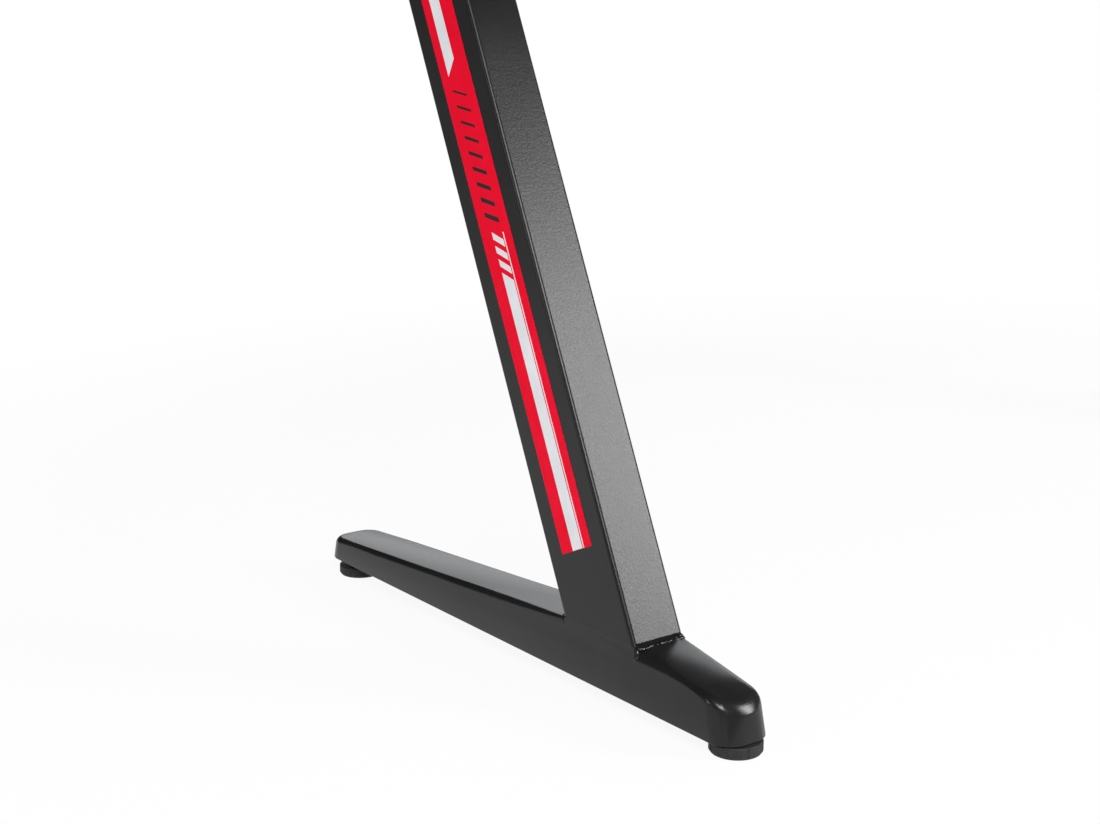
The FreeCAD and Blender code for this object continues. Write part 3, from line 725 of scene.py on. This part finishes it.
# The dome's light, and the room in mirrors: pale walls that turn to a dark ceiling above the horizon
DOME_LIGHT = 0.32
ROOM_WALLS = (0.45, 0.45, 0.45)
ROOM_CEILING = (0.04, 0.04, 0.04)
ROOM_FADE = (0.0, 0.05)


def seen_rays(tree):
    """One for a ray that shows the background: straight to the camera, mirrored or through glass."""
    path = tree.nodes.new("ShaderNodeLightPath")
    straight = path.outputs["Is Camera Ray"]
    mirrored = combine(tree, "MAXIMUM", straight, path.outputs["Is Glossy Ray"])
    return combine(tree, "MAXIMUM", mirrored, path.outputs["Is Transmission Ray"])


def floor_paper():
    """Pale matt paper that fades into the white of the backdrop."""
    paper = Finish("studio_floor_paper")
    paper.set(Base_Color=FLOOR_COLOUR, Roughness=FLOOR_ROUGHNESS, Specular_IOR_Level=0.0)
    tree = paper.tree
    distance = tree.nodes.new("ShaderNodeVectorMath")
    distance.operation = "LENGTH"
    tree.links.new(paper.place, distance.inputs[0])
    white = spread(tree, distance.outputs["Value"], FLOOR_FADE, FLOOR_WHITES)
    glow = tree.nodes.new("ShaderNodeEmission")
    mix = mix_shaders(tree, combine(tree, "MULTIPLY", seen_rays(tree), white), paper.shader, glow)
    tree.links.new(mix.outputs[0], tree.nodes["Material Output"].inputs["Surface"])
    return paper.material


def build_floor():
    """A square sheet of paper under the desk."""
    sheet = bmesh.new()
    bmesh.ops.create_grid(sheet, x_segments=1, y_segments=1, size=FLOOR_HALF)
    mesh = bpy.data.meshes.new("studio_floor")
    sheet.to_mesh(mesh)
    sheet.free()
    mesh.materials.append(floor_paper())
    floor = bpy.data.objects.new("studio_floor", mesh)
    bpy.context.collection.objects.link(floor)


def build_world():
    """A soft dome for the light, a white backdrop, and a room that grows dark overhead for mirrors."""
    world = bpy.data.worlds.new("studio")
    world.use_nodes = True
    bpy.context.scene.world = world
    tree = world.node_tree
    dome = tree.nodes["Background"]
    dome.inputs["Color"].default_value = WHITE
    dome.inputs["Strength"].default_value = DOME_LIGHT
    backdrop = tree.nodes.new("ShaderNodeBackground")
    backdrop.inputs["Color"].default_value = WHITE
    room = tree.nodes.new("ShaderNodeBackground")
    direction = tree.nodes.new("ShaderNodeTexCoord")
    split = tree.nodes.new("ShaderNodeSeparateXYZ")
    tree.links.new(direction.outputs["Generated"], split.inputs[0])
    room_colour = blend(tree, split.outputs["Z"], ROOM_FADE, ROOM_WALLS, ROOM_CEILING)
    tree.links.new(room_colour, room.inputs["Color"])
    path = tree.nodes.new("ShaderNodeLightPath")
    around = mix_shaders(tree, seen_rays(tree), dome, room)
    shown = mix_shaders(tree, path.outputs["Is Camera Ray"], around, backdrop)
    tree.links.new(shown.outputs[0], tree.nodes["World Output"].inputs["Surface"])


# Light and camera

LAMP_AIM = Vector((-LEG_X, -0.1, 0.25))
CAMERA_PLACE = (-1.48225, -1.15915, 0.54084)
CAMERA_DIP = 13.033
CAMERA_TURN = -37.294
LENS_LENGTH = 58.13
SENSOR_WIDTH = 36


def softbox(name, azimuth, elevation, distance, width, height, radiance, tint=(1, 1, 1)):
    """A rectangular lamp that faces the left leg. Azimuth is from the rear, clockwise seen from above."""
    lamp = bpy.data.lights.new(name, "AREA")
    lamp.shape = "RECTANGLE"
    lamp.size = width
    lamp.size_y = height
    lamp.energy = radiance * math.pi * width * height
    lamp.color = tint
    spot = bpy.data.objects.new(name, lamp)
    spot.visible_camera = False
    bpy.context.collection.objects.link(spot)
    turn, lift = math.radians(azimuth), math.radians(elevation)
    way = Vector((math.cos(lift) * math.sin(turn), math.cos(lift) * math.cos(turn), math.sin(lift)))
    spot.location = LAMP_AIM + way * distance
    spot.rotation_euler = way.to_track_quat("Z", "Y").to_euler()


def build_lamps():
    """Two strong softboxes in front, a wide weak one at the right rear and a narrow strip on the left."""
    softbox("front_right_softbox", azimuth=136, elevation=21, distance=3.0,
            width=0.75, height=1.3, radiance=24.5)
    softbox("right_rear_softbox", azimuth=46, elevation=16, distance=3.0,
            width=2.7, height=1.4, radiance=1.8, tint=(0.95, 0.98, 1.0))
    softbox("front_left_lamp", azimuth=-151, elevation=33, distance=2.6,
            width=1.05, height=0.95, radiance=23.5)
    softbox("left_strip", azimuth=-84, elevation=13, distance=2.6,
            width=0.25, height=0.9, radiance=14.0)


def build_camera():
    """The view of the left leg and foot, from in front and outside."""
    lens = bpy.data.cameras.new("photo_view")
    lens.sensor_fit = "HORIZONTAL"
    lens.sensor_width = SENSOR_WIDTH
    lens.lens = LENS_LENGTH
    eye = bpy.data.objects.new("photo_view", lens)
    bpy.context.collection.objects.link(eye)
    eye.location = CAMERA_PLACE
    eye.rotation_euler = (math.radians(90 - CAMERA_DIP), 0, math.radians(CAMERA_TURN))
    bpy.context.scene.camera = eye


build_floor()
build_world()
build_lamps()
build_camera()
bpy.context.scene.view_settings.view_transform = "Standard"
